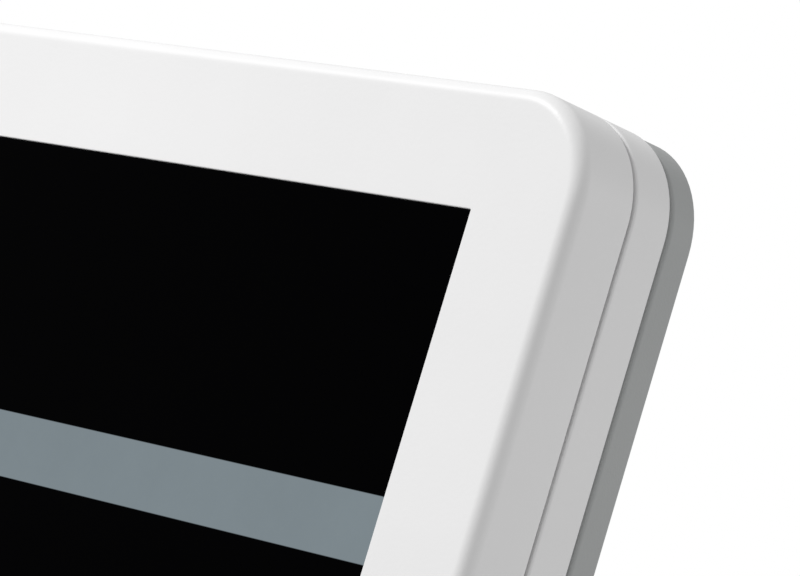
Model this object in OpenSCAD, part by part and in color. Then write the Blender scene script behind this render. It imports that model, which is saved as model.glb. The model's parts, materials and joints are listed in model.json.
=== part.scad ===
// Floor-standing touchscreen kiosk: a tilting display head on a slim column and a floor plate.
// Origin: centre of the footprint, on the floor. The visitor stands on the -Y side, +Z is up.
// The head is drawn in its own frame: x across, y as depth behind the front face, z up the screen.

/* [Head] */
// Visible width of the screen
screen_w = 476; // [440:1:520]
// Visible height of the screen
screen_h = 268; // [250:1:300]
// Width of the white border at the sides
bezel_side = 40; // [36:1:50]
// Width of the white border above and below the screen
bezel_top = 38; // [36:1:50]
// Radius of the outline's corners
corner_r = 32; // [30:1:40]
// Radius of the rounded front edge
edge_r = 4.6; // [3:0.2:6]
// Depth of the front frame, which opens as a door
front_depth = 23.3; // [22:0.1:24]
// Width of the seam behind the front frame
seam = 1.3; // [1.2:0.1:1.5]
// Depth of the white middle frame
mid_depth = 14.9; // [14.5:0.1:16]
// Depth of the grey rear cover's rim
rear_depth = 11.5; // [11:0.1:13]
// How far the rear cover is set in from the white frames
rear_step = 0.5; // [0.4:0.1:1]
// How far the head leans back from upright
tilt = 23; // [18:1:28]

/* [Stand] */
// Width of the floor plate
base_w = 450; // [420:5:550]
// Depth of the floor plate
base_d = 400; // [380:5:500]
// Thickness of the floor plate
base_t = 8; // [8:1:12]
// Width of the column
column_w = 180; // [176:1:200]
// Depth of the column
column_d = 80; // [78:1:100]
// How far the column stands behind the middle of the floor plate
column_y = 40; // [20:1:60]
// Height of the head's pivot above the floor
pivot_z = 960; // [900:5:1050]

/* [Fasteners] */
// Radius of the holes for the floor anchors
anchor_hole_r = 5.5; // [5:0.5:6.5]
// Distance between floor anchors across the plate
anchor_x = 390; // [380:5:400]
// Distance between floor anchors from front to back
anchor_y = 340; // [330:5:350]

/* [Hidden] */
$fn = 64;

white = "#ebebea";
grey = "#b0b1b2";
steel = "#b9bbbd";
black = "#1b1c1e";
board_green = "#1f5b3a";

// Head outline and the depths of its layers, counted back from the front face
head_w = screen_w + 2 * bezel_side;
head_h = screen_h + 2 * bezel_top;
wall = 2.5;
face_t = 3;
flange_in = 14.5;
mid_y = front_depth + seam;
rear_y = mid_y + mid_depth;
back_y = rear_y + rear_depth;
sheet = 2;

// Raised housing on the rear cover
house_w = 300;
house_h = 220;
house_r = 15;
house_y = back_y + 32;

// Pivot of the head, in the head's frame
pivot_y = house_y + 28;
pivot_drop = 50;
shaft_r = 10;
shaft_bore_r = 6.5;
shaft_half = 56;
running = 0.05;
ear_t = 5;
yoke_ear_x = 45;
bracket_ear_x = 38;

// Stand heights
pad_h = 2;
base_top = pad_h + base_t;
cap_t = 5;
yoke_t = 5;
column_top = pivot_z - 85;
cap_top = column_top + cap_t;
column_r = 10;
cover_gap = 0.3;
lead_r = 3;
lead_x = 72;
inlet_x = -22;
switch_x = 32;
socket_z = 75;

// Screen module behind the glass
glass_y = 0.4;
glass_t = 3.5;
panel_w = screen_w + 19.6;
panel_h = screen_h + 24.2;
panel_y = glass_y + glass_t;
panel_t = 9.5;
chassis_y = panel_y + panel_t;
chassis_t = 1.6;

// Cam lock in the rear cover and its catch on the door
lock_x = head_w / 2 - 44;
lock_z = -100;
lock_r = 9.5;
plug_r = 6;
cam_y = mid_y + 0.2;
cam_t = 2.5;
cam_reach = 23;

// Door hinges on the left edge
hinge_x = -head_w / 2 - 3.3;
hinge_y = front_depth + seam / 2;
knuckle_r = 3;
hinge_pin_r = 1.5;
hinge_zs = [-110, 110];
hinge_len = 50;
knuckle_half = 8;
leaf_t = 1.5;

// Fan
fan_x = 112;
fan_size = 60;
fan_y = house_y - sheet - 15.4;

// ---- Shared shapes ----

// Rectangle with round corners, centred
module rounded_rect(w, h, r) {
    square([w - 2 * r, h], center = true);
    square([w, h - 2 * r], center = true);
    for (sx = [-1, 1], sy = [-1, 1])
        translate([sx * (w / 2 - r), sy * (h / 2 - r)]) circle(r);
}

// Puts children from the head's frame into place on the stand
module in_head()
    translate([0, column_y, pivot_z]) rotate([-tilt, 0, 0])
        translate([0, -pivot_y, pivot_drop]) children();

// A drawing in x and z of the head, made solid from depth y0 to depth y1
module slab(y0, y1)
    translate([0, y1, 0]) rotate([90, 0, 0]) linear_extrude(y1 - y0) children();

// A cylinder along x from x0 to x1
module rod_x(r, x0, x1) translate([x0, 0, 0]) rotate([0, 90, 0]) cylinder(r = r, h = x1 - x0);

// A cylinder along y from y0 to y1
module rod_y(r, y0, y1) translate([0, y1, 0]) rotate([90, 0, 0]) cylinder(r = r, h = y1 - y0);

// Outline of the head, set in by an amount
module head_outline(inset = 0)
    rounded_rect(head_w - 2 * inset, head_h - 2 * inset, corner_r - inset);

// Sweeps a section, drawn as distance in from the outline and depth, round the head's outline
module swept_frame() {
    for (sx = [0, 1], sz = [0, 1]) mirror([sx, 0, 0]) mirror([0, 0, sz])
        translate([head_w / 2 - corner_r, 0, head_h / 2 - corner_r]) rotate([-90, 0, 0])
            mirror([0, 1, 0]) rotate_extrude(angle = 90)
                translate([corner_r, 0]) mirror([1, 0]) children();
    for (s = [0, 1]) mirror([s, 0, 0])
        translate([head_w / 2, 0, corner_r - head_h / 2])
            linear_extrude(head_h - 2 * corner_r) mirror([1, 0]) children();
    for (s = [0, 1]) mirror([0, 0, s])
        translate([corner_r - head_w / 2, 0, head_h / 2]) rotate([0, 90, 0])
            linear_extrude(head_w - 2 * corner_r) children();
}

// Button-head screw along -y: its head stands on y = 0 and its shank runs to y = -len
module screw_y(head_r, head_h, shank_r, len) {
    difference() {
        rod_y(head_r, 0, head_h);
        rotate([-90, 0, 0]) translate([0, 0, head_h * 0.4])
            cylinder(r = head_r * 0.45, h = head_h, $fn = 6);
    }
    rod_y(shank_r, -len, 0);
}

// Hexagon bolt pointing down: its head stands on z = 0
module bolt_z(across, head_h, shank_r, len) {
    cylinder(r = across / sqrt(3), h = head_h, $fn = 6);
    translate([0, 0, -len]) cylinder(r = shank_r, h = len);
}

// A round lead swept through points on one smooth curve
function smooth_at(p, i, t) =
    let (a = p[max(i - 1, 0)], b = p[i], c = p[i + 1], d = p[min(i + 2, len(p) - 1)])
    0.5 * (2 * b + (c - a) * t + (2 * a - 5 * b + 4 * c - d) * t * t
        + (3 * b - a - 3 * c + d) * t * t * t);
function unit(v) = v / norm(v);
module lead(points, r, steps = 4, sides = 8) {
    n = (len(points) - 1) * steps;
    path = [for (k = [0 : n]) let (i = min(floor(k / steps), len(points) - 2))
        smooth_at(points, i, k / steps - i)];
    rings = [for (k = [0 : n])
        let (t = unit(path[min(k + 1, n)] - path[max(k - 1, 0)]),
            s = unit(cross(t, [0.31, 0.87, 0.39])), u = cross(s, t))
        for (j = [0 : sides - 1]) path[k] + r * (cos(360 * j / sides) * s + sin(360 * j / sides) * u)];
    polyhedron(rings, concat(
        [[for (j = [sides - 1 : -1 : 0]) j]],
        [for (k = [0 : n - 1], j = [0 : sides - 1]) let (m = (j + 1) % sides)
            [k * sides + m, (k + 1) * sides + m, (k + 1) * sides + j, k * sides + j]],
        [[for (j = [0 : sides - 1]) n * sides + j]]));
}

// ---- Floor plate ----

pad_points = [for (sx = [-1, 1], sy = [-1, 1]) [sx * (base_w / 2 - 85), sy * (base_d / 2 - 30)]];
anchor_points = [for (sx = [-1, 1], sy = [-1, 1]) [sx * anchor_x / 2, sy * anchor_y / 2]];
flange_points = [for (sx = [-1, 1], sy = [-1, 1]) [sx * 64, column_y - 4 + sy * 20]];

module base_plate() color(grey) difference() {
    translate([0, 0, pad_h]) linear_extrude(base_t) rounded_rect(base_w, base_d, 30);
    for (p = anchor_points) translate([p.x, p.y, 0]) cylinder(r = anchor_hole_r, h = base_top + 1);
    for (p = flange_points) translate([p.x, p.y, 0]) cylinder(r = 4.1, h = base_top + 1);
    for (p = pad_points) translate([p.x, p.y, 0]) cylinder(r = 15.2, h = pad_h + 2);
}

module floor_pads() color(black)
    for (p = pad_points) translate([p.x, p.y, 0]) cylinder(r = 15, h = pad_h + 2);

// ---- Column ----

// Outline of the column with round front corners and a flat rear, set in by an amount
module column_outline(inset = 0, rear = 0) {
    r = column_r - inset;
    x = column_w / 2 - inset;
    front = inset - column_d / 2;
    back = column_d / 2 - rear;
    translate([-x, front + r]) square([2 * x, back - front - r]);
    translate([r - x, front]) square([2 * (x - r), r]);
    for (s = [-1, 1]) translate([s * (x - r), front + r]) circle(r);
}

cover_points = [for (s = [-1, 1], z = [40, 440, 840]) [s * (column_w / 2 - 11), z]];
cover_y = column_d / 2 - sheet;
vent_zs = [for (row = [0 : 5], z = [140, 780]) z + row * 10];

module column_shell() color(white) translate([0, column_y, 0]) difference() {
    translate([0, 0, base_top]) linear_extrude(column_top - base_top) {
        difference() {
            column_outline();
            column_outline(sheet, -1);
        }
        for (s = [-1, 1]) translate([s * (column_w / 2 - 10) - 8, cover_y - cover_gap - sheet])
            square([16, sheet]);
    }
    for (p = cover_points) translate([p.x, 0, p.y]) rod_y(2.2, 0, column_d);
}

module column_flange() color(steel) difference() {
    translate([0, column_y, base_top]) linear_extrude(6)
        column_outline(sheet + 0.3, sheet * 2 + 1);
    for (p = flange_points) translate([p.x, p.y, 0]) cylinder(r = 4.3, h = base_top + 10);
}

module flange_bolts() color(steel)
    for (p = flange_points) translate([p.x, p.y, base_top + 6]) bolt_z(13, 5.3, 4, base_t + 4);

module column_cover() color(white) translate([0, column_y, 0]) difference() {
    translate([sheet + cover_gap - column_w / 2, cover_y, base_top + 2])
        cube([column_w - 2 * (sheet + cover_gap), sheet, column_top - base_top - 4]);
    for (p = cover_points) translate([p.x, 0, p.y]) rod_y(2.2, 0, column_d);
    for (z = vent_zs) translate([-35, 0, z]) cube([70, column_d, 4]);
    translate([inlet_x - 14.3, 0, socket_z - 10.8]) cube([28.6, column_d, 21.6]);
    translate([switch_x - 9.8, 0, socket_z - 13.8]) cube([19.6, column_d, 27.6]);
    for (s = [-1, 1]) translate([inlet_x + s * 20, 0, socket_z]) rod_y(1.7, 0, column_d);
}

module cover_screws() color(steel) translate([0, column_y + column_d / 2, 0])
    for (p = cover_points) translate([p.x, 0, p.y]) screw_y(3.8, 2.2, 2, 9);

module column_cap() color(white) difference() {
    translate([0, column_y, column_top]) linear_extrude(cap_t) column_outline();
    translate([lead_x, column_y, column_top - 1]) cylinder(r = 8.2, h = cap_t + 2);
    for (p = yoke_points) translate([p.x, p.y, column_top - 1]) cylinder(r = 3.2, h = cap_t + 2);
}

module cap_grommet() color(black) translate([lead_x, column_y, 0]) difference() {
    union() {
        translate([0, 0, column_top]) cylinder(r = 8, h = cap_t + 1);
        translate([0, 0, cap_top]) cylinder(r = 10, h = 3);
        translate([0, 0, column_top - 3]) cylinder(r = 10, h = 3);
    }
    translate([0, 0, column_top - 4]) cylinder(r = lead_r + 0.4, h = cap_t + 9);
}

// ---- Mains inlet, switch and power supply ----

inlet_front = column_y + column_d / 2;

module power_inlet() color(black) translate([inlet_x, inlet_front, socket_z]) difference() {
    union() {
        slab(0, 2.5) rounded_rect(50, 26, 5);
        translate([-14, -24, -10.5]) cube([28, 24, 21]);
    }
    slab(-13.5, 3) polygon([[-12, -8.3], [12, -8.3], [12, 4.8], [8.5, 8.3], [-8.5, 8.3], [-12, 4.8]]);
    for (s = [-1, 1]) translate([s * 20, 0, 0]) rod_y(1.8, -1, 3);
}

module inlet_pins() color(steel) translate([inlet_x, inlet_front, socket_z])
    for (p = [[-7, -2], [7, -2], [0, 2]]) translate([p.x - 1, -13.5, p.y - 2]) cube([2, 11, 4]);

module inlet_screws() color(steel) translate([inlet_x, inlet_front + 2.5, socket_z])
    for (s = [-1, 1]) translate([s * 20, 0, 0]) screw_y(2.8, 1.6, 1.5, 9);

module switch_housing() color(black) translate([switch_x, inlet_front, socket_z]) difference() {
    union() {
        slab(0, 1.8) rounded_rect(24, 32, 2);
        translate([-9.5, -20, -13.5]) cube([19, 20, 27]);
    }
    translate([-7.3, -9, -11.9]) cube([14.6, 12, 23.8]);
    translate([0, -1, 0]) rod_x(1.3, -9, 9);
}

module switch_rocker() color(black) translate([switch_x, inlet_front - 1, socket_z])
    rotate([-9, 0, 0]) {
        translate([-6.9, 0, 0]) rotate([90, 0, 90]) linear_extrude(13.8)
            polygon([[5, -10.4], [3.4, 0], [5, 10.4], [-1.5, 10.4], [-5.5, 4], [-5.5, -4], [-1.5, -10.4]]);
        rod_x(1.25, -8.8, 8.8);
    }

supply_z = 160;
supply_y = column_y - 34;

module supply_bracket() color(steel) translate([0, supply_y - 3.6, supply_z]) {
    translate([-40, 0, 20]) cube([80, 3, 130]);
    for (z = [20, 147]) translate([-40, 0, z]) cube([80, 3.3, 3]);
}

module power_supply() color(steel) translate([0, supply_y, supply_z]) {
    difference() {
        translate([-49, 0, 0]) cube([98, 38, 170]);
        for (i = [0 : 11]) translate([-40, 36, 30 + i * 11]) cube([80, 3, 4]);
        translate([-42, 12, -1]) cube([84, 18, 8]);
    }
    for (i = [0 : 6]) translate([-38 + i * 11.5, 14, 2]) cube([7, 12, 5]);
}

module mains_leads() color(black) {
    lead([[inlet_x, inlet_front - 24.4, socket_z], [inlet_x, inlet_front - 27, socket_z],
        [inlet_x, inlet_front - 30, socket_z], [switch_x - 38, inlet_front - 44, socket_z + 14],
        [switch_x - 8, inlet_front - 42, socket_z + 8], [switch_x, inlet_front - 27, socket_z],
        [switch_x, inlet_front - 23, socket_z], [switch_x, inlet_front - 20.4, socket_z]], 2.5);
    lead([[switch_x, inlet_front - 20.4, socket_z + 8], [switch_x, inlet_front - 23, socket_z + 8],
        [switch_x, inlet_front - 27, socket_z + 8], [switch_x, inlet_front - 44, socket_z + 20],
        [20, supply_y + 22, supply_z - 30], [0, supply_y + 20, supply_z - 10],
        [0, supply_y + 20, supply_z - 0.3]], 2.5);
}

module column_lead() color(black)
    lead([[30, supply_y + 19, supply_z + 170.4], [30, supply_y + 19, supply_z + 176],
        [30, supply_y + 19, supply_z + 186],
        [50, column_y - 8, supply_z + 230], [lead_x, column_y, supply_z + 290],
        [lead_x, column_y, 600], [lead_x, column_y, 750], [lead_x, column_y, cap_top - 20],
        [lead_x, column_y, pivot_z - 40], [lead_x, column_y, pivot_z - 22],
        [lead_x - 6.4, column_y, pivot_z - 6.4], [50, column_y, pivot_z],
        [30, column_y, pivot_z], [0.2, column_y, pivot_z]], lead_r);

// ---- Tilt hinge between the column and the head ----

yoke_points = [for (sx = [-1, 1], sy = [-1, 1]) [sx * 28, column_y + sy * 20]];

module tilt_yoke() color(steel) difference() {
    union() {
        translate([-60, column_y - 32, cap_top]) cube([120, 64, yoke_t]);
        for (x = [yoke_ear_x, -yoke_ear_x - ear_t]) translate([x, column_y, pivot_z]) {
            rod_x(22, 0, ear_t);
            translate([0, -22, cap_top - pivot_z]) cube([ear_t, 44, pivot_z - cap_top]);
        }
    }
    translate([0, column_y, pivot_z]) rod_x(shaft_r + running, -70, 70);
    for (p = yoke_points) translate([p.x, p.y, column_top]) cylinder(r = 3.3, h = 20);
}

module yoke_bolts() color(steel)
    for (p = yoke_points) translate([p.x, p.y, cap_top + yoke_t]) bolt_z(10, 4, 3, 14);

module pivot_shaft() color(steel) translate([0, column_y, pivot_z]) difference() {
    rod_x(shaft_r, -shaft_half, shaft_half);
    rod_x(shaft_bore_r, -shaft_half - 1, shaft_half + 1);
}

module friction_washers() color("#c9a227") translate([0, column_y, pivot_z]) difference() {
    for (s = [0, 1]) mirror([s, 0, 0]) rod_x(17, bracket_ear_x + ear_t + 0.1, yoke_ear_x - 0.1);
    rod_x(shaft_r + 0.15, -70, 70);
}

module pivot_nuts() color(steel) translate([0, column_y, pivot_z]) difference() {
    for (s = [0, 1]) mirror([s, 0, 0]) {
        rod_x(17, yoke_ear_x + ear_t, yoke_ear_x + ear_t + 1);
        translate([yoke_ear_x + ear_t + 1, 0, 0]) rotate([0, 90, 0]) cylinder(r = 15.6, h = 5, $fn = 6);
    }
    rod_x(shaft_r + 0.1, -70, 70);
}

bracket_points = [[-50, 52], [50, 52], [-24, -60], [24, -60]];

module head_bracket() color(steel) in_head() difference() {
    union() {
        slab(house_y, house_y + 4) translate([0, -4]) square([120, 132], center = true);
        for (x = [bracket_ear_x, -bracket_ear_x - ear_t]) translate([x, pivot_y, -pivot_drop]) {
            rod_x(18, 0, ear_t);
            translate([0, house_y - pivot_y, -18]) cube([ear_t, pivot_y - house_y, 36]);
        }
    }
    translate([0, pivot_y, -pivot_drop]) rod_x(shaft_r + running, -70, 70);
    for (p = bracket_points) translate([p.x, 0, p.y]) rod_y(2.3, house_y - 1, house_y + 5);
}

module bracket_screws() color(steel) in_head()
    for (p = bracket_points) translate([p.x, house_y + 4, p.y]) screw_y(4, 2.4, 2, 6);

// ---- Head: frames and covers ----

screw_zs = [-1, 1] * (head_h / 2 - 52);
rear_points = concat(
    [for (sx = [-1, 1], z = screw_zs) [sx * (head_w / 2 - 11.5), z]],
    [for (x = [-150, 150], sz = [-1, 1]) [x, sz * (head_h / 2 - 11.5)]]);

module middle_frame() color(white) in_head() difference() {
    swept_frame() {
        translate([0, mid_y]) square([wall, mid_depth]);
        translate([0, mid_y]) square([flange_in, 2]);
        translate([0, rear_y - 2]) square([flange_in, 2]);
    }
    for (p = rear_points) translate([p.x, 0, p.y]) rod_y(1.8, rear_y - 3, rear_y + 1);
    for (s = [-1, 1], i = [-5 : 5])
        translate([s * 150 + i * 5 - 1.2, mid_y + 3, -head_h / 2 - 1]) cube([2.4, mid_depth - 6, wall + 2]);
}

module door_seal() color("#c3c4c5") in_head() slab(front_depth + 0.35, mid_y) difference() {
    head_outline(3.5);
    head_outline(9.5);
}

// Straight slots in x and z: count slots of a size, stacked upwards at a pitch
module slots(w, h, pitch, count)
    for (i = [0 : count - 1]) translate([0, (i - (count - 1) / 2) * pitch]) square([w, h], center = true);

module rear_cover() color(grey) in_head() difference() {
    union() {
        slab(rear_y, back_y) head_outline(rear_step);
        slab(back_y - 1, house_y) rounded_rect(house_w, house_h, house_r);
    }
    difference() {
        slab(rear_y - 1, back_y - sheet) head_outline(rear_step + wall);
        for (p = rear_points) translate([p.x, 0, p.y]) rod_y(4.5, rear_y - 2, back_y);
    }
    slab(rear_y, house_y - sheet)
        rounded_rect(house_w - 2 * sheet, house_h - 2 * sheet, house_r - sheet);
    for (p = rear_points) translate([p.x, 0, p.y]) rod_y(2.2, rear_y - 1, back_y + 1);
    translate([lock_x, 0, lock_z]) rod_y(lock_r + 0.15, rear_y, back_y + 1);
    slab(back_y - 4, back_y + 1) for (s = [-1, 1]) translate([s * 205, 75]) slots(80, 4, 10, 6);
    slab(house_y - 4, house_y + 1) translate([fan_x, 0]) slots(48, 4, 8, 6);
    for (i = [-9 : 9]) translate([i * 14 - 3, back_y + 6, 0]) cube([6, 18, house_h]);
    translate([-78, 0, -10]) rod_y(6.2, house_y - 4, house_y + 1);
    for (p = bracket_points) translate([p.x, 0, p.y]) rod_y(2.3, house_y - 4, house_y + 1);
}

module rear_screws() color(steel) in_head()
    for (p = rear_points) translate([p.x, back_y, p.y]) screw_y(4, 2.2, 1.65, 12.8);

module head_grommet() color(black) in_head() translate([-78, 0, -10]) difference() {
    union() {
        rod_y(6, house_y - sheet, house_y);
        rod_y(8.5, house_y, house_y + 2.5);
        rod_y(8.5, house_y - sheet - 2, house_y - sheet);
    }
    rod_y(lead_r + 0.4, house_y - 6, house_y + 4);
}

// ---- Door: front frame and screen ----

module front_section() difference() {
    union() {
        translate([0, edge_r]) square([flange_in, front_depth - edge_r]);
        translate([edge_r, 0]) square([flange_in - edge_r, edge_r]);
        intersection() {
            translate([edge_r, edge_r]) circle(edge_r);
            square([edge_r, edge_r]);
        }
    }
    translate([wall, face_t]) square([flange_in, front_depth - face_t - 2]);
}

module front_frame() color(white) in_head() {
    swept_frame() front_section();
    slab(0, face_t) difference() {
        head_outline(flange_in);
        square([screen_w, screen_h], center = true);
    }
}

module touch_glass() color("#0a0b0c") in_head()
    slab(glass_y, panel_y) square([screen_w - 0.5, screen_h - 0.5], center = true);

module panel_tape() color(black) in_head() slab(face_t, panel_y) difference() {
    square([panel_w, panel_h], center = true);
    square([screen_w + 4, screen_h + 4], center = true);
}

module lcd_panel() color("#2a2c2f") in_head()
    slab(panel_y, chassis_y) square([panel_w, panel_h], center = true);

module lcd_chassis() color(steel) in_head() difference() {
    slab(panel_y + 2, chassis_y + chassis_t) square([panel_w + 3.4, panel_h + 3.4], center = true);
    slab(0, chassis_y) square([panel_w + 0.4, panel_h + 0.4], center = true);
}

rail_x = panel_w / 2 + 2.6;
rail_back = chassis_y + chassis_t;

module panel_rails() color(steel) in_head() for (s = [0, 1]) mirror([s, 0, 0])
    translate([0, 0, -125]) linear_extrude(250) {
        translate([rail_x, face_t]) square([12, 2]);
        translate([rail_x, face_t]) square([2, rail_back + 2 - face_t]);
        translate([rail_x - 20, rail_back]) square([22, 2]);
    }

module driver_board() color(board_green) in_head() {
    for (sx = [-1, 1], sz = [-1, 1]) translate([-40 + sx * 54, 0, sz * 34]) rod_y(3, rail_back, rail_back + 4.2);
    slab(rail_back + 4, rail_back + 5.6) translate([-40, 0]) square([120, 80], center = true);
    slab(rail_back + 5.4, rail_back + 8) translate([-50, 5]) square([26, 26], center = true);
    slab(rail_back + 5.4, rail_back + 8.6) translate([-5, -28]) square([30, 12], center = true);
}

module touch_controller() color(board_green) in_head() {
    for (sx = [-1, 1], sz = [-1, 1]) translate([100 + sx * 29, 0, 40 + sz * 14]) rod_y(2.5, rail_back, rail_back + 4.2);
    slab(rail_back + 4, rail_back + 5.6) translate([100, 40]) square([68, 38], center = true);
    slab(rail_back + 5.4, rail_back + 7.6) translate([95, 40]) square([14, 14], center = true);
}

module door_catch() color(steel) in_head() translate([0, 0, lock_z - 10]) linear_extrude(20) {
    translate([lock_x + 24, front_depth - 4.2]) square([14, 2.2]);
    translate([lock_x + 24, front_depth - 4.2]) square([2.2, 12]);
    translate([lock_x + 12, front_depth + 5.6]) square([14.2, 2.2]);
}

// ---- Door hinges ----

// One leaf drawn on the side wall from depth y0 to y1, with knuckles at given height ranges
module hinge_leaf(y0, y1, spans, tab_y) for (z = hinge_zs) translate([hinge_x, 0, z]) difference() {
    union() {
        translate([1.8, y0, -hinge_len / 2]) cube([leaf_t, y1 - y0, hinge_len]);
        for (s = spans) {
            translate([1.8, min(tab_y, hinge_y), s[0]])
                cube([leaf_t, abs(tab_y - hinge_y), s[1] - s[0]]);
            translate([0, hinge_y, s[0]]) cylinder(r = knuckle_r, h = s[1] - s[0]);
        }
    }
    translate([0, hinge_y, -hinge_len]) cylinder(r = hinge_pin_r + running, h = 2 * hinge_len);
    for (dz = [-16, 16]) translate([0, (y0 + y1) / 2, dz]) rod_x(1.4, 0, 6);
}

door_spans = [[-knuckle_half, knuckle_half]];
frame_spans = [[-hinge_len / 2, -knuckle_half - 0.3], [knuckle_half + 0.3, hinge_len / 2]];
door_leaf_y = [7, front_depth - 3];
frame_leaf_y = [mid_y + 3, rear_y - 1.2];

module door_hinge_leaves() color(steel) in_head()
    hinge_leaf(door_leaf_y[0], door_leaf_y[1], door_spans, door_leaf_y[1]);

module frame_hinge_leaves() color(steel) in_head()
    hinge_leaf(frame_leaf_y[0], frame_leaf_y[1], frame_spans, frame_leaf_y[0]);

module hinge_pins() color(steel) in_head() for (z = hinge_zs)
    translate([hinge_x, hinge_y, z - hinge_len / 2 - 1]) cylinder(r = hinge_pin_r, h = hinge_len + 2);

// Flat-head screws through the leaves, which stop short of the frame's wall
module hinge_screws(y) for (z = hinge_zs, dz = [-16, 16]) translate([hinge_x, y, z + dz]) {
    rod_x(1.3, 1.9, 3.3);
    rod_x(2.4, 1.1, 1.8);
}

module door_hinge_screws() color(steel) in_head() hinge_screws((door_leaf_y[0] + door_leaf_y[1]) / 2);
module frame_hinge_screws() color(steel) in_head() hinge_screws((frame_leaf_y[0] + frame_leaf_y[1]) / 2);

// ---- Inside the head ----

pc_back = house_y - sheet - 3;

module pc_bracket() color(steel) in_head() difference() {
    slab(pc_back, house_y - sheet) translate([-68, 0]) square([90, 92], center = true);
    translate([-78, 0, -10]) rod_y(9, pc_back - 1, house_y);
}

module mini_pc() color("#2b2d30") in_head() difference() {
    slab(pc_back - 34, pc_back) translate([-68, 0]) rounded_rect(116, 111, 6);
    for (i = [-4 : 4]) translate([-68 + i * 9 - 2, pc_back - 26, 50]) cube([4, 18, 8]);
    translate([-78, 0, -10]) rod_y(11, pc_back - 1, pc_back + 1);
}

module speaker(x) in_head() translate([x, mid_y + 2.4, -head_h / 2 + wall + 0.2]) {
    translate([-34, 0, 1]) cube([68, mid_depth - 4.8, 22]);
    translate([-28, 0.6, 0]) cube([56, mid_depth - 6, 1.2]);
}
module speaker_left() color(black) speaker(-150);
module speaker_right() color(black) speaker(150);

module fan_housing() color(black) in_head() translate([fan_x, 0, 0]) {
    difference() {
        slab(fan_y, fan_y + 15) rounded_rect(fan_size, fan_size, 4);
        rod_y(28, fan_y - 1, fan_y + 16);
        for (sx = [-1, 1], sz = [-1, 1]) translate([sx * 25, 0, sz * 25]) rod_y(2.2, fan_y - 1, fan_y + 16);
    }
    rod_y(12, fan_y, fan_y + 2.5);
    for (a = [45 : 90 : 315]) rotate([0, a, 0]) translate([10, fan_y, -1.5]) cube([19, 2.5, 3]);
}

module fan_rotor() color(black) in_head() translate([fan_x, 0, 0]) {
    rod_y(12.5, fan_y + 3, fan_y + 14);
    for (a = [0 : 40 : 320]) rotate([0, a, 0]) translate([12, fan_y + 8.5, 0])
        rotate([35, 0, 0]) translate([-1, -5.5, -0.7]) cube([15.6, 11, 1.4]);
}

module lock_barrel() color(steel) in_head() translate([lock_x, 0, lock_z]) difference() {
    union() {
        rod_y(12, back_y, back_y + 2);
        rod_y(lock_r, cam_y + cam_t + 0.5, back_y);
    }
    rod_y(plug_r + running, 0, back_y + 3);
}

module lock_nut() color(steel) in_head() translate([lock_x, 0, lock_z]) difference() {
    translate([0, back_y - sheet, 0]) rotate([90, 0, 0]) cylinder(r = 13.5, h = 4, $fn = 6);
    rod_y(lock_r + 0.1, 0, back_y);
}

module lock_plug() color(steel) in_head() translate([lock_x, 0, lock_z]) difference() {
    rod_y(plug_r, cam_y + cam_t, back_y + 2.6);
    translate([-0.8, back_y - 4, -3.6]) cube([1.6, 8, 7.2]);
}

module lock_cam() color(steel) in_head() translate([lock_x, 0, lock_z]) slab(cam_y, cam_y + cam_t) {
    circle(8);
    translate([-5, 0]) square([10, cam_reach - 5]);
    translate([0, cam_reach - 5]) circle(5);
}

module head_lead() color(black) in_head()
    lead([[-0.2, pivot_y, -pivot_drop], [-30, pivot_y, -pivot_drop], [-50, pivot_y, -pivot_drop],
        [-64, pivot_y, -pivot_drop + 4], [-74, pivot_y - 2, -pivot_drop + 16], [-78, pivot_y - 6, -20],
        [-78, pivot_y - 14, -11], [-78, house_y, -10], [-78, pc_back - 0.8, -10]], lead_r);

plug_x = -head_w / 2 + 40;

module screen_harness() color(black) in_head() {
    lead([[-126.6, pc_back - 17, 20], [-133, pc_back - 17.5, 20], [-139, back_y + 3, 20],
        [-142, back_y - 6, 19], [-153, back_y - 9, 18], [-190, back_y - 9.5, 14],
        [plug_x - 2, back_y - 10, 9], [plug_x, mid_y + 14, 3], [plug_x, mid_y + 9.4, 0]], 2.6);
    translate([plug_x - 8, mid_y + 1, -5]) cube([16, 8, 10]);
}

module door_harness() color(black) in_head() {
    translate([plug_x - 8, rail_back + 4, -5]) cube([16, mid_y + 0.6 - rail_back - 4, 10]);
    lead([[plug_x + 7.8, rail_back + 5.4, 0], [plug_x + 40, rail_back + 5.4, -4],
        [-130, rail_back + 5.4, -8], [-100.2, rail_back + 5.4, -8]], 2.2);
}

// ---- What is drawn ----

base_plate();
floor_pads();
column_shell();
column_flange();
flange_bolts();
column_cover();
cover_screws();
column_cap();
cap_grommet();
power_inlet();
inlet_pins();
inlet_screws();
switch_housing();
switch_rocker();
power_supply();
supply_bracket();
mains_leads();
column_lead();
tilt_yoke();
yoke_bolts();
pivot_shaft();
friction_washers();
pivot_nuts();
head_bracket();
bracket_screws();
middle_frame();
door_seal();
rear_cover();
rear_screws();
head_grommet();
frame_hinge_leaves();
hinge_pins();
frame_hinge_screws();
mini_pc();
pc_bracket();
speaker_left();
speaker_right();
fan_housing();
fan_rotor();
lock_barrel();
lock_nut();
lock_plug();
lock_cam();
head_lead();
screen_harness();
front_frame();
touch_glass();
panel_tape();
lcd_panel();
lcd_chassis();
panel_rails();
driver_board();
touch_controller();
door_catch();
door_hinge_leaves();
door_hinge_screws();
door_harness();
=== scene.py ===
"""Looks of the touchscreen kiosk: painted frames, screen, column and small parts, in soft studio light."""
import json
import math

import bmesh
import bpy
from mathutils import Matrix, Vector


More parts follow.
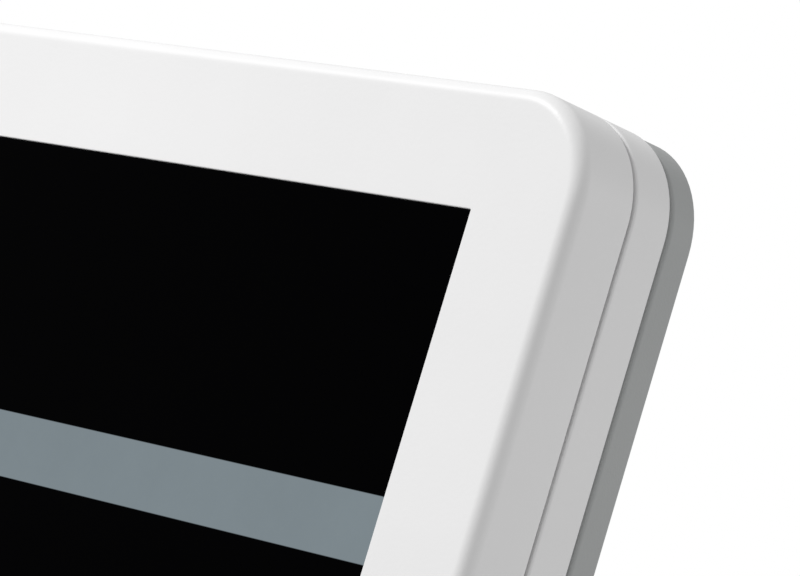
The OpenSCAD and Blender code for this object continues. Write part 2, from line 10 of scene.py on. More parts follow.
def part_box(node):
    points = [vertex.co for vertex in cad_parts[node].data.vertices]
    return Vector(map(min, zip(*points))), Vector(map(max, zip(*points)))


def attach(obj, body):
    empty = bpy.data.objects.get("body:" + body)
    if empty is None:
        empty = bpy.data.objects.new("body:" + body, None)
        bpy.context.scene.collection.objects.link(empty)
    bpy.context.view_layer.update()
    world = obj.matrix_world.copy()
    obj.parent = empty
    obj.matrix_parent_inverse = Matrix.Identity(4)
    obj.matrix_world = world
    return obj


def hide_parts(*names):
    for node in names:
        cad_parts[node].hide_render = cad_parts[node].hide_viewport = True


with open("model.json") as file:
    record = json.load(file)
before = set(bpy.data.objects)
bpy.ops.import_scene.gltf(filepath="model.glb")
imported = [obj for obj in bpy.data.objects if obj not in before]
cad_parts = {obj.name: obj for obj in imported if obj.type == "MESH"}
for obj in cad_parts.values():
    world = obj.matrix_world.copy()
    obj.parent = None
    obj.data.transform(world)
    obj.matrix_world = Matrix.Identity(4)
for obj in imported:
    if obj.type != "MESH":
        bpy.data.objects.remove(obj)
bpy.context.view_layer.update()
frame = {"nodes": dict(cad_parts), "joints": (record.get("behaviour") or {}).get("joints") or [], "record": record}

NODES = frame["nodes"]
JOINTS = {joint["name"]: joint for joint in frame["joints"]}
MOUNTS = {mount["name"]: mount for mount in frame["record"]["mounts"]}
MM = 0.001
X_AXIS = Vector((1, 0, 0))

# ---- The head's own frame: x across, y back from the front face, z up the screen ----

# The door's hinge runs down the side of the head, so its axis gives the head's lean.
HEAD_UP = -Vector(JOINTS["door_swing"]["axis"]).normalized()
HEAD_BACK = HEAD_UP.cross(X_AXIS)
HEAD_TURN = Matrix((X_AXIS, HEAD_BACK, HEAD_UP)).transposed()


def reach(node, matrix):
    """Lowest and highest corner of a CAD node in the frame that matrix places in the world."""
    into = matrix.inverted()
    points = [into @ vertex.co for vertex in NODES[node].data.vertices]
    return (Vector([min(point[axis] for point in points) for axis in range(3)]),
            Vector([max(point[axis] for point in points) for axis in range(3)]))


face_low, face_high = reach("front_frame", HEAD_TURN.to_4x4())
HEAD = HEAD_TURN.to_4x4() @ Matrix.Translation((0, face_low.y, (face_low.z + face_high.z) / 2))
# The same frame turned for holes that run up the head: y is up the screen and z is forwards.
HEAD_ON_END = HEAD @ Matrix.Rotation(math.radians(90), 4, "X")

_, front_high = reach("front_frame", HEAD)
middle_low, middle_high = reach("middle_frame", HEAD)
rear_low, rear_high = reach("rear_cover", HEAD)
glass_low, glass_high = reach("touch_glass", HEAD)
seal_low, seal_high = reach("door_seal", HEAD)

# Half widths and half heights of the head, its screen opening and its rear housing
GLASS_GAP = 0.25 * MM
HALF_W, HALF_H = front_high.x, front_high.z
OPEN_W, OPEN_H = glass_high.x + GLASS_GAP, glass_high.z + GLASS_GAP
HOUSE_W, HOUSE_H = 150 * MM, 110 * MM

CORNER_R = 32 * MM
EDGE_R = 4.6 * MM
SEAM_EDGE_R = 0.75 * MM
WALL = 2.5 * MM
FACE_T = 3 * MM
FLANGE = 14.5 * MM
SHEET = 2 * MM
RIM_DEPTH = 11.5 * MM
RIM_STEP = HALF_W - rear_high.x
RIM_BACK = rear_low.y + RIM_DEPTH
HOUSE_BACK = rear_high.y
HOUSE_R = 15 * MM

# ---- Mesh helpers ----

CORNER_STEPS = 18
SAME_POINT = 1e-7
FACE_WEIGHT = 80
SMALL_ROUND = 0.25 * MM
VENT_R = 2 * MM


def ring(half_w, half_h, radius, depth):
    """Points round a rectangle with round corners, in x and z, at one depth."""
    points = []
    for quarter, (side_x, side_z) in enumerate(((1, 1), (-1, 1), (-1, -1), (1, -1))):
        for step in range(CORNER_STEPS + 1):
            angle = math.radians(90 * (quarter + step / CORNER_STEPS))
            points.append((side_x * (half_w - radius) + radius * math.cos(angle), depth,
                           side_z * (half_h - radius) + radius * math.sin(angle)))
    return points


def outline(inset, depth):
    """Ring at an inset from the head's outline."""
    return ring(HALF_W - inset, HALF_H - inset, CORNER_R - inset, depth)


def arc(inset, depth, radius, start, end, steps):
    """Insets and depths round an arc: 0 degrees is its outermost point and 90 its front."""
    angles = [math.radians(start + (end - start) * step / steps) for step in range(steps + 1)]
    return [(inset - radius * math.cos(angle), depth - radius * math.sin(angle)) for angle in angles]


def add_loft(bm, rings, closed=False):
    """Skins rings of points one after another, and caps both ends unless the last ring meets the first."""
    loops = [[bm.verts.new(point) for point in points] for points in rings]
    count = len(loops[0])
    pairs = list(zip(loops, loops[1:])) + ([(loops[-1], loops[0])] if closed else [])
    for near, far in pairs:
        for at in range(count):
            after = (at + 1) % count
            bm.faces.new((near[at], near[after], far[after], far[at]))
    if not closed:
        bm.faces.new(loops[0])
        bm.faces.new(reversed(loops[-1]))


def new_piece(name, bm, matrix):
    """An object from a bmesh drawn in the frame that matrix places in the world."""
    bmesh.ops.remove_doubles(bm, verts=bm.verts, dist=SAME_POINT)
    bmesh.ops.recalc_face_normals(bm, faces=bm.faces)
    mesh = bpy.data.meshes.new(name)
    bm.to_mesh(mesh)
    bm.free()
    piece = bpy.data.objects.new(name, mesh)
    bpy.context.scene.collection.objects.link(piece)
    piece.matrix_world = matrix
    return piece


def round_hole(x, z, radius, near, far):
    """A round hole for cut()."""
    return x, z, radius, radius, radius, near, far


def vents(x, z, half_w, pitch, count, near, far):
    """Slots for cut(), stacked about a middle point."""
    heights = [z + pitch * (row - (count - 1) / 2) for row in range(count)]
    return [(x, height, half_w, VENT_R, VENT_R, near, far) for height in heights]


def cut(piece, holes, matrix):
    """Cuts prisms out of a piece: each is (x, z, half width, half height, corner radius, near, far)."""
    bm = bmesh.new()
    for x, z, half_w, half_h, radius, near, far in holes:
        sections = [ring(half_w, half_h, radius, depth) for depth in (near, far)]
        add_loft(bm, [[(x + point[0], point[1], z + point[2]) for point in section] for section in sections])
    cutter = new_piece("cutter", bm, matrix)
    modifier = piece.modifiers.new("cut", "BOOLEAN")
    modifier.operation = "DIFFERENCE"
    modifier.solver = "EXACT"
    modifier.object = cutter
    graph = bpy.context.evaluated_depsgraph_get()
    cut_mesh = bpy.data.meshes.new_from_object(piece.evaluated_get(graph))
    piece.modifiers.clear()
    piece.data = cut_mesh
    bpy.data.objects.remove(cutter)


def soften(piece, width, angle=50, segments=2):
    """Breaks a piece's sharp edges with a small round, and keeps its flat faces looking flat."""
    bevel = piece.modifiers.new("round edges", "BEVEL")
    bevel.width = width
    bevel.segments = segments
    bevel.limit_method = "ANGLE"
    bevel.angle_limit = math.radians(angle)
    normals = piece.modifiers.new("flat faces", "WEIGHTED_NORMAL")
    normals.weight = FACE_WEIGHT
    piece.data.polygons.foreach_set("use_smooth", [True] * len(piece.data.polygons))


def finish_piece(piece, body, nodes, slot, edge=SMALL_ROUND):
    """Rounds a new piece's edges, gives it its finish, hangs it on the body it rides on and hides the CAD nodes it
    stands for.
    """
    soften(piece, edge)
    piece.data.materials.clear()
    piece.data.materials.append(FINISH[slot])
    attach(piece, body)
    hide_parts(*nodes)


# ---- Materials ----

UNIT = (0, 1)
MOST_NOISE = (0.3, 0.7)


class Shader:
    """A material under construction, with short ways to add and join nodes."""

    def __init__(self, name):
        self.material = bpy.data.materials.new(name)
        self.material.use_nodes = True
        self.nodes = self.material.node_tree.nodes
        self.links = self.material.node_tree.links
        self.shader = self.nodes["Principled BSDF"]
        self.place = self.nodes.new("ShaderNodeTexCoord").outputs["Object"]

    def set(self, **values):
        """Constants on the shader's own sockets; underscores stand for spaces."""
        for socket, value in values.items():
            self.shader.inputs[socket.replace("_", " ")].default_value = value

    def join(self, output, socket):
        self.links.new(output, self.shader.inputs[socket])

    def stretched(self, scale):
        """Object coordinates in metres, stretched by a scale on each axis."""
        mapping = self.nodes.new("ShaderNodeMapping")
        mapping.inputs["Scale"].default_value = scale
        self.links.new(self.place, mapping.inputs["Vector"])
        return mapping.outputs["Vector"]

    def noise(self, scale, detail=2.0, roughness=0.5, place=None):
        node = self.nodes.new("ShaderNodeTexNoise")
        node.inputs["Scale"].default_value = scale
        node.inputs["Detail"].default_value = detail
        node.inputs["Roughness"].default_value = roughness
        self.links.new(place or self.place, node.inputs["Vector"])
        return node.outputs["Fac"]

    def spots(self, scale, place=None):
        """Distance to the nearest of many scattered points."""
        node = self.nodes.new("ShaderNodeTexVoronoi")
        node.inputs["Scale"].default_value = scale
        self.links.new(place or self.place, node.inputs["Vector"])
        return node.outputs["Distance"]

    def ranged(self, value, span, result):
        """A value moved from one span of numbers to another, and held within it."""
        node = self.nodes.new("ShaderNodeMapRange")
        node.clamp = True
        for socket, number in zip(("From Min", "From Max", "To Min", "To Max"), (*span, *result)):
            node.inputs[socket].default_value = number
        self.links.new(value, node.inputs["Value"])
        return node.outputs["Result"]

    def worked_out(self, kind, first, second):
        """Two values added or multiplied, by kind; either may be a number."""
        node = self.nodes.new("ShaderNodeMath")
        node.operation = kind
        for socket, value in zip(node.inputs, (first, second)):
            if isinstance(value, (int, float)):
                socket.default_value = value
            else:
                self.links.new(value, socket)
        return node.outputs["Value"]

    def blended(self, share, first, second):
        """A colour between two, by share."""
        node = self.nodes.new("ShaderNodeMix")
        node.data_type = "RGBA"
        self.links.new(share, node.inputs["Factor"])
        colours_in = [socket for socket in node.inputs if socket.type == "RGBA"]
        for socket, value in zip(colours_in, (first, second)):
            if isinstance(value, bpy.types.NodeSocket):
                self.links.new(value, socket)
            else:
                socket.default_value = (*value, 1)
        return next(socket for socket in node.outputs if socket.type == "RGBA")

    def relief(self, height, distance, under=None):
        """Bumps of a real height in metres."""
        node = self.nodes.new("ShaderNodeBump")
        node.inputs["Distance"].default_value = distance
        self.links.new(height, node.inputs["Height"])
        if under:
            self.links.new(under, node.inputs["Normal"])
        return node.outputs["Normal"]


def shade(colour, factor):
    return tuple(min(1.0, channel * factor) for channel in colour)


def powder_coat(name, colour, roughness, peel_scale, peel_height):
    """Baked paint: orange peel, fine grit, a faint cloudiness, and handling marks in its gloss."""
    cloud_share, grit_share, grit_height = 0.8, 0.2, 0.15 * peel_height
    paint = Shader(name)
    cloud = paint.noise(scale=9, detail=4)
    grit = paint.noise(scale=5200, detail=1)
    tone = paint.worked_out("ADD", paint.worked_out("MULTIPLY", cloud, cloud_share),
                            paint.worked_out("MULTIPLY", grit, grit_share))
    mix = paint.ranged(tone, (0.35, 0.65), UNIT)
    paint.join(paint.blended(mix, shade(colour, 0.985), shade(colour, 1.015)), "Base Color")
    marks = paint.noise(scale=55, detail=6, roughness=0.7)
    paint.join(paint.ranged(marks, MOST_NOISE, (roughness - 0.05, roughness + 0.06)), "Roughness")
    peel = paint.relief(paint.noise(scale=peel_scale, detail=2), peel_height)
    paint.join(paint.relief(grit, grit_height, under=peel), "Normal")
    paint.set(Specular_IOR_Level=0.16)
    return paint.material


def brushed_metal(name, colour, roughness, grain, clouds=0.06, stain=0.9):
    """Bare or plated metal: fine lines one way, soft stains, and gloss that varies with both."""
    line_height, line_gloss = 0.006 * MM, 0.06
    metal = Shader(name)
    lines = metal.noise(scale=700, detail=3, place=metal.stretched(grain))
    stains = metal.noise(scale=35, detail=5, roughness=0.65)
    mix = metal.ranged(stains, (0.35, 0.7), UNIT)
    metal.join(metal.blended(mix, shade(colour, stain), colour), "Base Color")
    fine = metal.ranged(lines, MOST_NOISE, (roughness - line_gloss, roughness + line_gloss))
    broad = metal.ranged(stains, MOST_NOISE, (-clouds, clouds))
    metal.join(metal.worked_out("ADD", fine, broad), "Roughness")
    metal.join(metal.relief(lines, line_height), "Normal")
    metal.set(Metallic=1.0)
    return metal.material


def moulded(name, colour, roughness, grain_scale, grain_height, specular=0.45):
    """Moulded plastic or rubber: a spark-eroded grain, with wear in its tone and gloss."""
    worn_tone, worn_gloss = 1.35, 0.05
    plastic = Shader(name)
    grain = plastic.spots(scale=grain_scale)
    wear = plastic.noise(scale=40, detail=5, roughness=0.6)
    mix = plastic.ranged(wear, (0.35, 0.7), UNIT)
    plastic.join(plastic.blended(mix, colour, shade(colour, worn_tone)), "Base Color")
    gloss = plastic.ranged(wear, MOST_NOISE, (roughness + worn_gloss, roughness - worn_gloss))
    plastic.join(gloss, "Roughness")
    plastic.join(plastic.relief(grain, grain_height), "Normal")
    plastic.set(Specular_IOR_Level=specular)
    return plastic.material


# The bar on the screen: from the opening's top edge down to it, its height, and the blur of its edges
BAR_TOP = 86.35 * MM
BAR_HEIGHT = 20.05 * MM
BAR_SOFTNESS = 0.25 * MM
BAR_COLOUR = (0.200, 0.240, 0.262)
SCREEN_GLOW = (0.0002, 0.0002, 0.0003)
SCREEN_BLACK = (0.0001, 0.0001, 0.00012)
PIXEL_BLACK = (0.0003, 0.0003, 0.0004)


def screen_glass():
    """Dark screen under anti-reflective glass, lit by one plain bar across it."""
    glass = Shader("screen")
    height = glass.nodes.new("ShaderNodeSeparateXYZ")
    glass.links.new(glass.place, height.inputs["Vector"])
    level = height.outputs["Z"]
    top, bottom = OPEN_H - BAR_TOP, OPEN_H - BAR_TOP - BAR_HEIGHT
    under_top = glass.ranged(level, (top, top + BAR_SOFTNESS), (1, 0))
    over_bottom = glass.ranged(level, (bottom - BAR_SOFTNESS, bottom), UNIT)
    smears = glass.noise(scale=28, detail=6, roughness=0.7)
    mix = glass.ranged(smears, MOST_NOISE, UNIT)
    lit = glass.blended(mix, shade(BAR_COLOUR, 0.97), shade(BAR_COLOUR, 1.03))
    in_bar = glass.worked_out("MULTIPLY", under_top, over_bottom)
    glass.join(glass.blended(in_bar, SCREEN_GLOW, lit), "Emission Color")
    pixels = glass.ranged(glass.spots(scale=3600), (0.1, 0.7), UNIT)
    glass.join(glass.blended(pixels, SCREEN_BLACK, PIXEL_BLACK), "Base Color")
    glass.join(glass.ranged(smears, (0.35, 0.75), (0.1, 0.16)), "Roughness")
    glass.set(Emission_Strength=1.0, Specular_IOR_Level=0.009)
    return glass.material


def circuit_board():
    """Green solder mask with a paler raised grid of tracks."""
    dark, light, track = (0.012, 0.09, 0.035), (0.02, 0.14, 0.06), (0.05, 0.24, 0.1)
    track_height = 0.04 * MM
    board = Shader("board")
    tracks = board.nodes.new("ShaderNodeTexBrick")
    board.links.new(board.place, tracks.inputs["Vector"])
    tracks.inputs["Scale"].default_value = 60
    tracks.inputs["Mortar Size"].default_value = 0.03
    cloud = board.noise(scale=300, detail=3)
    mask = board.blended(board.ranged(cloud, MOST_NOISE, UNIT), dark, light)
    board.join(board.blended(tracks.outputs["Fac"], mask, track), "Base Color")
    board.join(board.ranged(cloud, MOST_NOISE, (0.28, 0.42)), "Roughness")
    board.join(board.relief(tracks.outputs["Fac"], track_height), "Normal")
    board.set(Specular_IOR_Level=0.5)
    return board.material


# Scales that draw noise out into brushed lines, up the object or across it
LENGTHWISE = (1, 1, 0.02)
ACROSS = (0.02, 1, 1)
FINISH = {
    "white_powder": powder_coat("white_powder", (0.864, 0.862, 0.864), 0.36, 700, 0.04 * MM),
    "grey_powder": powder_coat("grey_powder", (0.428, 0.439, 0.437), 0.5, 1300, 0.05 * MM),
    "screen": screen_glass(),
    "zinc_steel": brushed_metal("zinc_steel", (0.62, 0.63, 0.64), 0.36, LENGTHWISE),
    "fastener": brushed_metal("fastener", (0.5, 0.5, 0.51), 0.3, ACROSS),
    "pivot_steel": brushed_metal("pivot_steel", (0.55, 0.55, 0.56), 0.26, ACROSS),
    "brass": brushed_metal("brass", (0.7, 0.52, 0.22), 0.3, ACROSS, stain=0.8),
    "lock_metal": brushed_metal("lock_metal", (0.66, 0.66, 0.67), 0.16, ACROSS),
    "rubber": moulded("rubber", (0.02, 0.02, 0.02), 0.7, 2500, 0.05 * MM, specular=0.3),
    "seal_foam": moulded("seal_foam", (0.52, 0.52, 0.52), 0.85, 3500, 0.12 * MM, specular=0.2),
    "black_plastic": moulded("black_plastic", (0.02, 0.02, 0.022), 0.48, 2600, 0.03 * MM),
    "lead_jacket": moulded("lead_jacket", (0.018, 0.018, 0.018), 0.5, 1500, 0.02 * MM),
    "board": circuit_board(),
    "panel_body": moulded("panel_body", (0.05, 0.052, 0.055), 0.4, 1800, 0.02 * MM),
    "pc_case": moulded("pc_case", (0.03, 0.032, 0.035), 0.42, 2200, 0.03 * MM),
}

# ---- CAD nodes that keep their shape: softened edges and their own finish ----

EDGE_ROUNDS = {"mini_pc": 1.2 * MM, "power_supply": 0.8 * MM, "column_cap": 0.8 * MM, "tilt_yoke": 0.8 * MM,
               "head_bracket": 0.8 * MM, "floor_pads": 0.6 * MM, "switch_rocker": 0.6 * MM,
               "pivot_nuts": 0.7 * MM, "power_inlet": 0.5 * MM}
WELD_GAP = 1e-6
FLAT_ANGLE, SHARP_ANGLE = 0.5, 30
ROUNDED_LEADS = ("mains_leads", "column_lead", "head_lead")


def finish_cad_node(node, slot):
    """Cleans a CAD node's triangles, rounds its edges and gives it its finish."""
    piece = NODES[node]
    weld = piece.modifiers.new("weld", "WELD")
    weld.merge_threshold = WELD_GAP
    if node in ROUNDED_LEADS:
        smooth = piece.modifiers.new("round section", "SUBSURF")
        smooth.levels = smooth.render_levels = 2
        piece.data.polygons.foreach_set("use_smooth", [True] * len(piece.data.polygons))
    else:
        flats = piece.modifiers.new("flats", "DECIMATE")
        flats.decimate_type = "DISSOLVE"
        flats.angle_limit = math.radians(FLAT_ANGLE)
        soften(piece, EDGE_ROUNDS.get(node, SMALL_ROUND), angle=SHARP_ANGLE)
    piece.data.materials.clear()
    piece.data.materials.append(FINISH[slot])


for subpart in frame["record"]["subparts"]:
    finish_cad_node(subpart["node"], subpart["material_slot"])

# ---- Door: front frame and screen, and the seal that they close on ----


def front_frame():
    """White frame round the screen: rounded front edge, crisp screen opening and an inner flange."""
    seam_edge = arc(SEAM_EDGE_R, front_high.y - SEAM_EDGE_R, SEAM_EDGE_R, -90, 0, steps=5)
    front_edge = arc(EDGE_R, EDGE_R, EDGE_R, 0, 90, steps=16)
    rings = [outline(*point) for point in seam_edge]
    rings.append(outline(0, front_high.y - 3 * SEAM_EDGE_R))
    rings.append(outline(0, EDGE_R + SEAM_EDGE_R))
    rings += [outline(*point) for point in front_edge]
    rings.append(outline(EDGE_R + SEAM_EDGE_R, 0))
    lip = 0.35 * MM
    opening_edge = [(lip + inset, depth) for inset, depth in arc(0, lip, lip, 90, 0, steps=5)]
    for out, depth in [(3 * lip, 0)] + opening_edge:
        rings.append(ring(OPEN_W + out, OPEN_H + out, lip + out, depth))
    rings.append(ring(OPEN_W, OPEN_H, lip, FACE_T))
    for inset, depth in ((WALL, FACE_T), (WALL, front_high.y - SHEET), (FLANGE, front_high.y - SHEET),
                         (FLANGE, front_high.y)):
        rings.append(outline(inset, depth))
    bm = bmesh.new()
    add_loft(bm, rings, closed=True)
    piece = new_piece("kiosk_front_frame", bm, HEAD)
    finish_piece(piece, "door", ["front_frame"], "white_powder")


def touch_glass():
    """Thick glass pane with a fine ground edge, set just behind the frame's face."""
    ground = 0.25 * MM
    sections = arc(ground, ground, ground, 90, 0, steps=3) + [(0, glass_high.y - glass_low.y)]
    bm = bmesh.new()
    add_loft(bm, [ring(glass_high.x - inset, glass_high.z - inset, 2 * ground - inset, glass_low.y + depth)
                  for inset, depth in sections])
    finish_piece(new_piece("kiosk_touch_glass", bm, HEAD), "door", ["touch_glass"], "screen")


def door_seal():
    """Foam strip with a domed face, in the seam behind the front frame."""
    width, steps = 6 * MM, 12
    outer = HALF_W - seal_high.x
    crown = 0.75 * (seal_high.y - seal_low.y)
    profile = [(outer + width * step / steps, seal_low.y + crown * (1 - math.sin(math.pi * step / steps)))
               for step in range(steps + 1)]
    profile += [(outer + width, seal_high.y), (outer, seal_high.y)]
    bm = bmesh.new()
    add_loft(bm, [outline(*point) for point in profile], closed=True)
    finish_piece(new_piece("kiosk_door_seal", bm, HEAD), "head", ["door_seal"], "seal_foam", edge=0.05 * MM)


# ---- Head: middle frame and rear cover ----


def middle_frame():
    """White ring behind the seam, with inward flanges and speaker slots in its underside."""
    front, back = middle_low.y, middle_high.y
    profile = [(FLANGE, front)] + arc(SEAM_EDGE_R, front + SEAM_EDGE_R, SEAM_EDGE_R, 90, 0, steps=5)
    profile += [(0, front + 3 * SEAM_EDGE_R), (0, back - 3 * SEAM_EDGE_R)]
    profile += arc(SEAM_EDGE_R, back - SEAM_EDGE_R, SEAM_EDGE_R, 0, -90, steps=5)
    profile += [(FLANGE, back), (FLANGE, back - SHEET), (WALL, back - SHEET), (WALL, front + SHEET),
                (FLANGE, front + SHEET)]
    bm = bmesh.new()
    add_loft(bm, [outline(*point) for point in profile], closed=True)
    piece = new_piece("kiosk_middle_frame", bm, HEAD)
    speaker_low, speaker_high = reach("speaker_right", HEAD)
    speaker_x, pitch = (speaker_low.x + speaker_high.x) / 2, 5 * MM
    slot_w, slot_d, middle = 1.2 * MM, (back - front) / 2 - 3 * MM, (front + back) / 2
    cut(piece, [(side * speaker_x + count * pitch, -middle, slot_w, slot_d, slot_w,
                 -HALF_H - MM, -HALF_H + WALL + MM)
                for side in (-1, 1) for count in range(-5, 6)], HEAD_ON_END)
    finish_piece(piece, "head", ["middle_frame"], "white_powder", edge=0.2 * MM)


def rear_cover_rings():
    """Sections of the rear cover, from the inside of its housing forwards, round the rim and back outside."""
    inner_rim = RIM_STEP + WALL
    inner_break, rim_round, house_round, foot_round = 1.5 * MM, 0.5 * MM, 3 * MM, 2 * MM
    groove, groove_back = 1.2 * MM, rear_low.y + 1.5 * MM
    rim_arc = arc(RIM_STEP + rim_round, RIM_BACK - rim_round, rim_round, 0, -90, steps=8)
    house_arc = arc(house_round, HOUSE_BACK - house_round, house_round, 0, -90, steps=8)

    def house(inset, depth):
        return ring(HOUSE_W - inset, HOUSE_H - inset, HOUSE_R - inset, depth)

    rings = [house(SHEET + inner_break, HOUSE_BACK - SHEET), house(SHEET, HOUSE_BACK - SHEET - inner_break)]
    rings += [house(SHEET, RIM_BACK - SHEET), outline(inner_rim, RIM_BACK - SHEET)]
    rings.append(outline(inner_rim, rear_low.y))
    rings += [outline(RIM_STEP + groove, rear_low.y), outline(RIM_STEP + groove, groove_back)]
    groove_arc = arc(RIM_STEP + groove, groove_back + groove, groove, 90, 0, steps=6)
    rings += [outline(*point) for point in groove_arc]
    rings.append(outline(RIM_STEP, RIM_BACK - 1.5 * rim_round))
    rings += [outline(*point) for point in rim_arc]
    rings += [outline(RIM_STEP + 1.5 * rim_round, RIM_BACK), house(-2 * foot_round, RIM_BACK)]
    # A hollow round where the housing rises from the rim
    foot_steps = 6
    for step in range(foot_steps + 1):
        angle = math.radians(90 * step / foot_steps)
        foot = foot_round * (math.sin(angle) - 1)
        rings.append(house(foot, RIM_BACK + foot_round * (1 - math.cos(angle))))
    rings += [house(*point) for point in house_arc]
    rings.append(house(2 * house_round, HOUSE_BACK))
    return rings


def rear_cover():
    """Grey pressed cover: a rim behind a fine shadow groove, a raised housing, and vents right through."""
    bm = bmesh.new()
    add_loft(bm, rear_cover_rings())
    piece = new_piece("kiosk_rear_cover", bm, HEAD)
    rim = (RIM_BACK - 4 * MM, RIM_BACK + MM)
    house_wall = (HOUSE_BACK - 4 * MM, HOUSE_BACK + MM)
    lock = HEAD.inverted() @ Vector(JOINTS["lock_turn"]["pos_m"])
    fan = HEAD.inverted() @ Vector(JOINTS["fan_spin"]["pos_m"])
    grommet_low, grommet_high = reach("head_grommet", HEAD)
    grommet = (grommet_low + grommet_high) / 2
    lock_hole_r, grommet_hole_r = 9.65 * MM, 6.2 * MM
    side_x, side_z = 205 * MM, 75 * MM
    holes = []
    for side in (-1, 1):
        holes += vents(side * side_x, side_z, 40 * MM, 10 * MM, 6, *rim)
    holes += vents(fan.x, fan.z, 24 * MM, 8 * MM, 6, *house_wall)
    holes.append(round_hole(grommet.x, grommet.z, grommet_hole_r, *house_wall))
    holes.append(round_hole(lock.x, lock.z, lock_hole_r, *rim))
    cut(piece, holes, HEAD)
    slot_w, slot_d, pitch = 3 * MM, 9 * MM, 14 * MM
    slot_middle = RIM_BACK + 15 * MM
    cut(piece, [(pitch * count, -slot_middle, slot_w, slot_d, slot_w, HOUSE_H - 6 * MM, HOUSE_H + MM)
                for count in range(-9, 10)], HEAD_ON_END)
    finish_piece(piece, "head", ["rear_cover"], "grey_powder", edge=0.2 * MM)


# ---- Stand: column, its rear cover and the floor plate ----

column_low, column_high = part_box("column_shell")
cover_low, cover_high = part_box("column_cover")
plate_low, plate_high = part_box("base_plate")


def bend_points(x, y, radius, steps=10):
    """Points in plan round the right front bend about a middle, from its front to its side."""
    angles = [math.radians(90 * step / steps - 90) for step in range(steps + 1)]
    return [(x + radius * math.cos(angle), y + radius * math.sin(angle)) for angle in angles]


def on_left(points):
    """The same points on the left of the middle, in the opposite order."""
    return [(-x, y) for x, y in reversed(points)]


def column_shell():
    """Folded sheet column: round front corners, and returns behind the rear cover."""
    half, front, back = column_high.x, column_low.y, column_high.y
    bend, return_w, cover_gap = 10 * MM, 18 * MM, 0.3 * MM
    fold_back = cover_low.y - cover_gap
    fold_x, inner_x = half - return_w, half - SHEET
    outside = [(fold_x, fold_back - SHEET), (fold_x, fold_back), (inner_x, fold_back), (inner_x, back)]
    outside.append((half, back))
    outside += reversed(bend_points(half - bend, front + bend, bend))
    inside = bend_points(half - bend, front + bend, bend - SHEET) + [(inner_x, fold_back - SHEET)]
    path = outside + on_left(outside) + on_left(inside) + inside
    bm = bmesh.new()
    add_loft(bm, [[(x, y, z) for x, y in path] for z in (column_low.z, column_high.z)])
    piece = new_piece("kiosk_column_shell", bm, Matrix.Identity(4))
    finish_piece(piece, "stand", ["column_shell"], "white_powder", edge=0.4 * MM)


def column_cover():
    """Rear cover sheet with two groups of vents and the openings for the inlet and switch."""
    middle, half_h = (cover_low.z + cover_high.z) / 2, (cover_high.z - cover_low.z) / 2
    thick, edge_r = cover_high.y - cover_low.y, 0.5 * MM
    place = Matrix.Translation((0, cover_low.y, middle))
    profile = [(edge_r, 0), (0, edge_r)] + arc(edge_r, thick - edge_r, edge_r, 0, -90, steps=4)
    bm = bmesh.new()
    add_loft(bm, [ring(cover_high.x - inset, half_h - inset, 2 * edge_r - inset, depth)
                  for inset, depth in profile])
    piece = new_piece("kiosk_column_cover", bm, place)
    through = (-MM, thick + MM)
    holes = []
    for height in (167 * MM, 807 * MM):
        holes += vents(0, height - middle, 35 * MM, 10 * MM, 6, *through)
    openings = {"power_inlet": (14.3 * MM, 10.8 * MM), "switch_housing": (9.8 * MM, 13.8 * MM)}
    for node, half_sizes in openings.items():
        low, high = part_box(node)
        fitting = (low + high) / 2
        holes.append((fitting.x, fitting.z - middle, *half_sizes, MM, *through))
    cut(piece, holes, place)
    finish_piece(piece, "stand", ["column_cover"], "white_powder", edge=0.2 * MM)


def base_plate():
    """Thick floor plate with a rounded upper edge, four anchor holes, and pockets below for the pads."""
    thick = plate_high.z - plate_low.z
    top_r, foot_r, corner_r = 2 * MM, 0.6 * MM, 30 * MM
    half_d, middle = (plate_high.y - plate_low.y) / 2, (plate_high.y + plate_low.y) / 2
    downwards = Matrix.Translation((0, middle, plate_high.z)) @ Matrix.Rotation(math.radians(-90), 4, "X")
    profile = arc(top_r, top_r, top_r, 90, 0, steps=8) + arc(foot_r, thick - foot_r, foot_r, 0, -90, steps=3)
    bm = bmesh.new()
    add_loft(bm, [ring(plate_high.x - inset, half_d - inset, corner_r - inset, depth)
                  for inset, depth in profile])
    piece = new_piece("kiosk_base_plate", bm, downwards)
    anchors = MOUNTS["floor_anchors"]["dims"]
    anchor_x, anchor_y = anchors["spacing_x_mm"] / 2 * MM, anchors["spacing_y_mm"] / 2 * MM
    cut(piece, [round_hole(side * anchor_x, end * anchor_y, anchors["hole_r_mm"] * MM, -MM, thick + MM)
                for side in (-1, 1) for end in (-1, 1)], downwards)
    pad_x, pad_y, _ = MOUNTS["floor_rest"]["pos_m"]
    pocket_r, pocket_depth = 15.2 * MM, 2 * MM
    cut(piece, [round_hole(side * pad_x, end * pad_y, pocket_r, thick - pocket_depth, thick + MM)
                for side in (-1, 1) for end in (-1, 1)], downwards)
    finish_piece(piece, "stand", ["base_plate"], "grey_powder", edge=0.5 * MM)


front_frame()
touch_glass()
door_seal()
middle_frame()
rear_cover()
column_shell()
column_cover()
base_plate()

# ---- Floor, light and camera ----


def studio_floor():
    """Pale matt disc under the kiosk, just clear of its pads."""
    disc_r, sides, gap = 4.2, 96, 0.5 * MM
    paint = Shader("studio_floor")
    cloud = paint.noise(scale=3, detail=4)
    paint.join(paint.blended(cloud, (0.8, 0.8, 0.8), (0.84, 0.84, 0.84)), "Base Color")
    paint.set(Roughness=0.9, Specular_IOR_Level=0.1)
    bm = bmesh.new()
    bmesh.ops.create_circle(bm, cap_ends=True, segments=sides, radius=disc_r)
    floor = new_piece("studio_floor", bm, Matrix.Translation((0, 0, -gap)))
    floor.data.materials.append(paint.material)


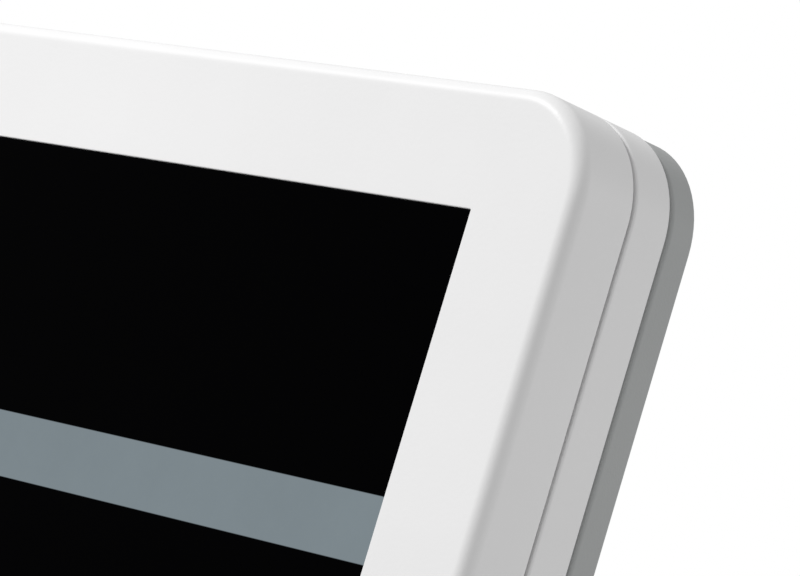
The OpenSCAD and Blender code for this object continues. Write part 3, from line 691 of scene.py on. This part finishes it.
def stand_off(thing, target, azimuth, elevation, distance):
    """Stands a light or camera off a target, facing it, by degrees round from a visitor in front and up."""
    turn, rise = math.radians(azimuth), math.radians(elevation)
    away = Vector((math.sin(turn) * math.cos(rise), -math.cos(turn) * math.cos(rise), math.sin(rise)))
    thing.location = target + away * distance
    thing.rotation_mode = "QUATERNION"
    thing.rotation_quaternion = (-away).to_track_quat("-Z", "Y")
    bpy.context.scene.collection.objects.link(thing)


def soft_light(name, azimuth, elevation, distance, width, power):
    """Square area light aimed at the middle of the head's face."""
    data = bpy.data.lights.new(name, "AREA")
    data.size = width
    data.energy = power
    light = bpy.data.objects.new(name, data)
    light.visible_camera = False
    stand_off(light, HEAD.translation, azimuth, elevation, distance)


AMBIENT = 0.5
BACKDROP = 1.0


def studio_world():
    """White surroundings to look at, and a dimmer even light from them."""
    world = bpy.data.worlds.new("studio")
    bpy.context.scene.world = world
    world.use_nodes = True
    nodes, links = world.node_tree.nodes, world.node_tree.links
    seen = nodes.new("ShaderNodeLightPath").outputs["Is Camera Ray"]
    brightness = nodes.new("ShaderNodeMapRange")
    brightness.inputs["To Min"].default_value = AMBIENT
    brightness.inputs["To Max"].default_value = BACKDROP
    links.new(seen, brightness.inputs["Value"])
    background = nodes["Background"]
    background.inputs["Color"].default_value = (1, 1, 1, 1)
    links.new(brightness.outputs["Result"], background.inputs["Strength"])


studio_floor()
studio_world()
soft_light("key", azimuth=-56, elevation=54, distance=3.0, width=1.0, power=69)
soft_light("rim", azimuth=142, elevation=1, distance=3.0, width=1.3, power=8.6)
soft_light("top", azimuth=-140, elevation=40, distance=3.0, width=2.4, power=3.5)

LENS, SENSOR_WIDTH = 200.6, 36
CLIP_NEAR, CLIP_FAR = 0.05, 60
CAMERA_AZIMUTH = 47.51
CAMERA_ELEVATION = 9.34
CAMERA_DISTANCE = 1.2877
AIM = Vector((219.25, 0, 107.8)) * MM


def camera():
    """Long lens from the visitor's right, aimed near the screen's upper right corner."""
    data = bpy.data.cameras.new("camera")
    data.lens, data.sensor_width = LENS, SENSOR_WIDTH
    data.clip_start, data.clip_end = CLIP_NEAR, CLIP_FAR
    eye = bpy.data.objects.new("camera", data)
    stand_off(eye, HEAD @ AIM, CAMERA_AZIMUTH, CAMERA_ELEVATION, CAMERA_DISTANCE)
    bpy.context.scene.camera = eye


camera()
bpy.context.scene.view_settings.view_transform = "Standard"
